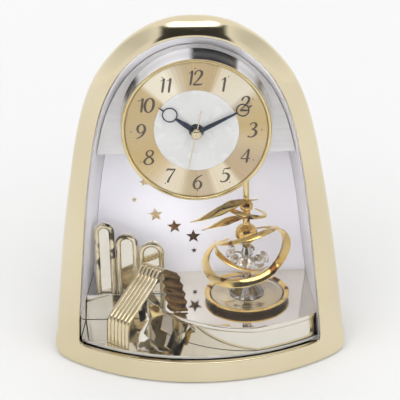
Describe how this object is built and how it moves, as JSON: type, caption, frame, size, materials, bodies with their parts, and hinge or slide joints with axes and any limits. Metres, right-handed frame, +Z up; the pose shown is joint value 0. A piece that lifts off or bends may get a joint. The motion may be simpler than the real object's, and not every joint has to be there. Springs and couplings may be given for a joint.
{
  "type": "anniversary clock",
  "caption": "Arched mantel clock with a bowed front window, a round dial, a turning ribbon ornament on a mirror stage and small arches beside it.",
  "frame": {"origin": "centre of the bounding box at the bottom of the feet", "axes": "+Z up, the dial faces -Y, +X to the right as seen from the front"},
  "size_m": [0.198, 0.1048, 0.25],
  "materials": {
    "champagne": "champagne-gold plating on plastic, polished",
    "window": "clear, polished",
    "pearl": "pearl white, satin",
    "mirror": "silver mirror plating on plastic",
    "chrome": "bright silver plating on plastic",
    "silver": "silver grey, satin",
    "foil": "dark gold foil",
    "gold": "polished gold plate",
    "gold_plastic": "gold plating on plastic",
    "dial": "sunburst-brushed gold ring, white satin centre",
    "ink": "blue-black lacquer",
    "black": "matt moulded",
    "dark_mirror": "dark polished",
    "crystal": "clear cut crystal",
    "wheel": "moulded, natural",
    "board": "circuit board with copper winding",
    "cell": "printed sleeve, plain",
    "rubber": "matt"
  },
  "bodies": {
    "case": {"front_frame": "champagne", "front_window": "window", "case_shell": "champagne", "side_liner": "pearl", "back_wall": "pearl", "lower_floor": "mirror", "base_plate": "black", "foot_1": "rubber", "foot_2": "rubber", "foot_3": "rubber", "foot_4": "rubber", "stage": "mirror", "arcade_base": "chrome", "star_1": "foil", "star_2": "foil", "star_3": "foil", "star_4": "foil", "star_5": "foil", "star_6": "foil", "movement_housing": "silver", "dial_drum": "chrome", "dial_bezel": "gold_plastic", "dial_plate": "dial", "movement_tray": "black", "movement_cover": "black", "battery": "cell", "circuit_and_coil": "board", "rear_cover": "champagne", "pendulum_motor": "black", "arch_1": "chrome", "arch_2": "chrome", "arch_3": "chrome", "ribbed_strap": "gold_plastic", "pleated_fan": "gold_plastic", "folded_leg_1": "gold_plastic", "folded_leg_2": "gold_plastic"},
    "minute": {"minute_hand": "ink", "centre_wheel": "wheel"},
    "hour": {"hour_hand": "ink", "hour_wheel": "wheel"},
    "second": {"second_hand": "gold_plastic", "second_wheel": "wheel"},
    "knob": {"set_knob": "black"},
    "ornament": {"turntable": "dark_mirror", "turntable_rim": "gold_plastic", "glass_base": "crystal", "crystal_hub": "crystal", "upper_hub": "gold_plastic", "spindle_rod": "gold", "orbit_ribbon": "gold", "inner_ribbon": "gold", "halo_ribbon": "gold", "leaf_ribbon_1": "gold", "leaf_ribbon_2": "gold", "crown_ribbon": "gold"},
    "door": {"access_door": "champagne"},
    "switch": {"pendulum_switch": "black"}
  },
  "joints": [
    {"name": "minute_spin", "type": "hinge", "parent": "case", "child": "minute", "pos_m": [0.0008, -0.03, 0.1714], "axis": [0, 1, 0], "continuous": true},
    {"name": "hour_spin", "type": "hinge", "parent": "case", "child": "hour", "pos_m": [0.0008, -0.03, 0.1714], "axis": [0, 1, 0], "continuous": true},
    {"name": "second_spin", "type": "hinge", "parent": "case", "child": "second", "pos_m": [0.0008, -0.03, 0.1714], "axis": [0, 1, 0], "continuous": true},
    {"name": "knob_turn", "type": "hinge", "parent": "case", "child": "knob", "pos_m": [0.0158, 0.01, 0.1755], "axis": [0, 1, 0], "continuous": true},
    {"name": "ornament_spin", "type": "hinge", "parent": "case", "child": "ornament", "pos_m": [0.0326, 0.006, 0.09], "axis": [0, 0, 1], "continuous": true},
    {"name": "door_hinge", "type": "hinge", "parent": "case", "child": "door", "pos_m": [-0.032, 0.0511, 0.166], "axis": [0, 0, 1], "range_deg": [0, 100]},
    {"name": "switch_slide", "type": "slide", "parent": "case", "child": "switch", "axis": [1, 0, 0], "range_m": [0, 0.006]}
  ],
  "couplings": [
    {"joint": "hour_spin", "follows": "minute_spin", "ratio": 0.083333},
    {"joint": "second_spin", "follows": "minute_spin", "ratio": 60},
    {"joint": "knob_turn", "follows": "minute_spin", "ratio": -1}
  ]
}
